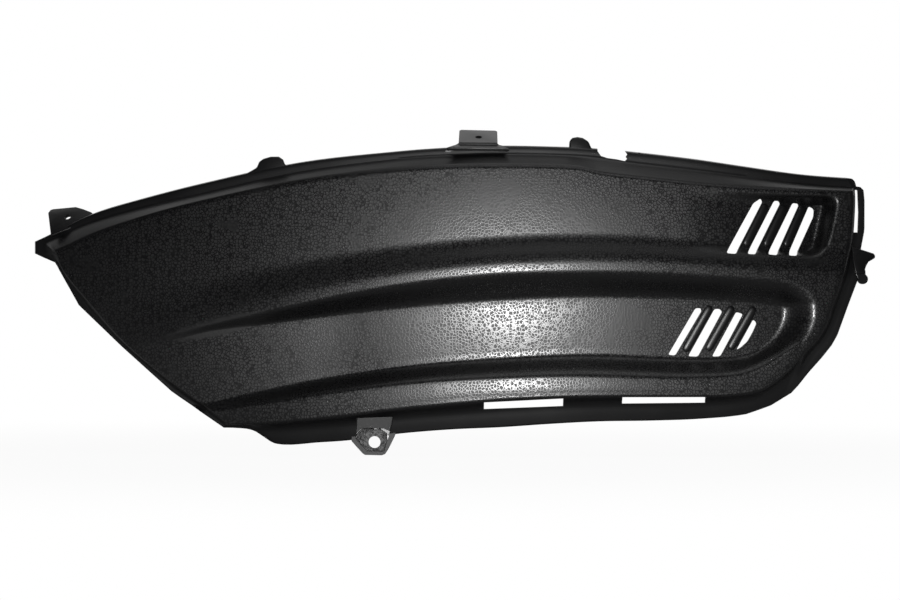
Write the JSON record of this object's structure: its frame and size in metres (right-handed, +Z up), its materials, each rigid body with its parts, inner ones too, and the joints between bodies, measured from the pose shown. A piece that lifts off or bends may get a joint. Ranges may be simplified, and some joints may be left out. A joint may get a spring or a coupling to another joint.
{
  "type": "side fairing panel",
  "caption": "Bowed side fairing panel for a scooter in black grained plastic, with a scooped channel, slanted louvred vents, a stepped border, screw tabs and a lower ear.",
  "frame": {"origin": "centre of the screw hole in the lower ear, halfway through the ear", "axes": "+X along the panel towards its vented end, +Z up as fitted, the outer skin looks towards -Y"},
  "size_m": [0.5733, 0.0948, 0.2188],
  "materials": {
    "black_plastic": "moulded leather grain on the outer skin, smooth satin on the border, tabs and back"
  },
  "bodies": {
    "root": {"fairing_panel": "black_plastic"}
  },
  "joints": []
}
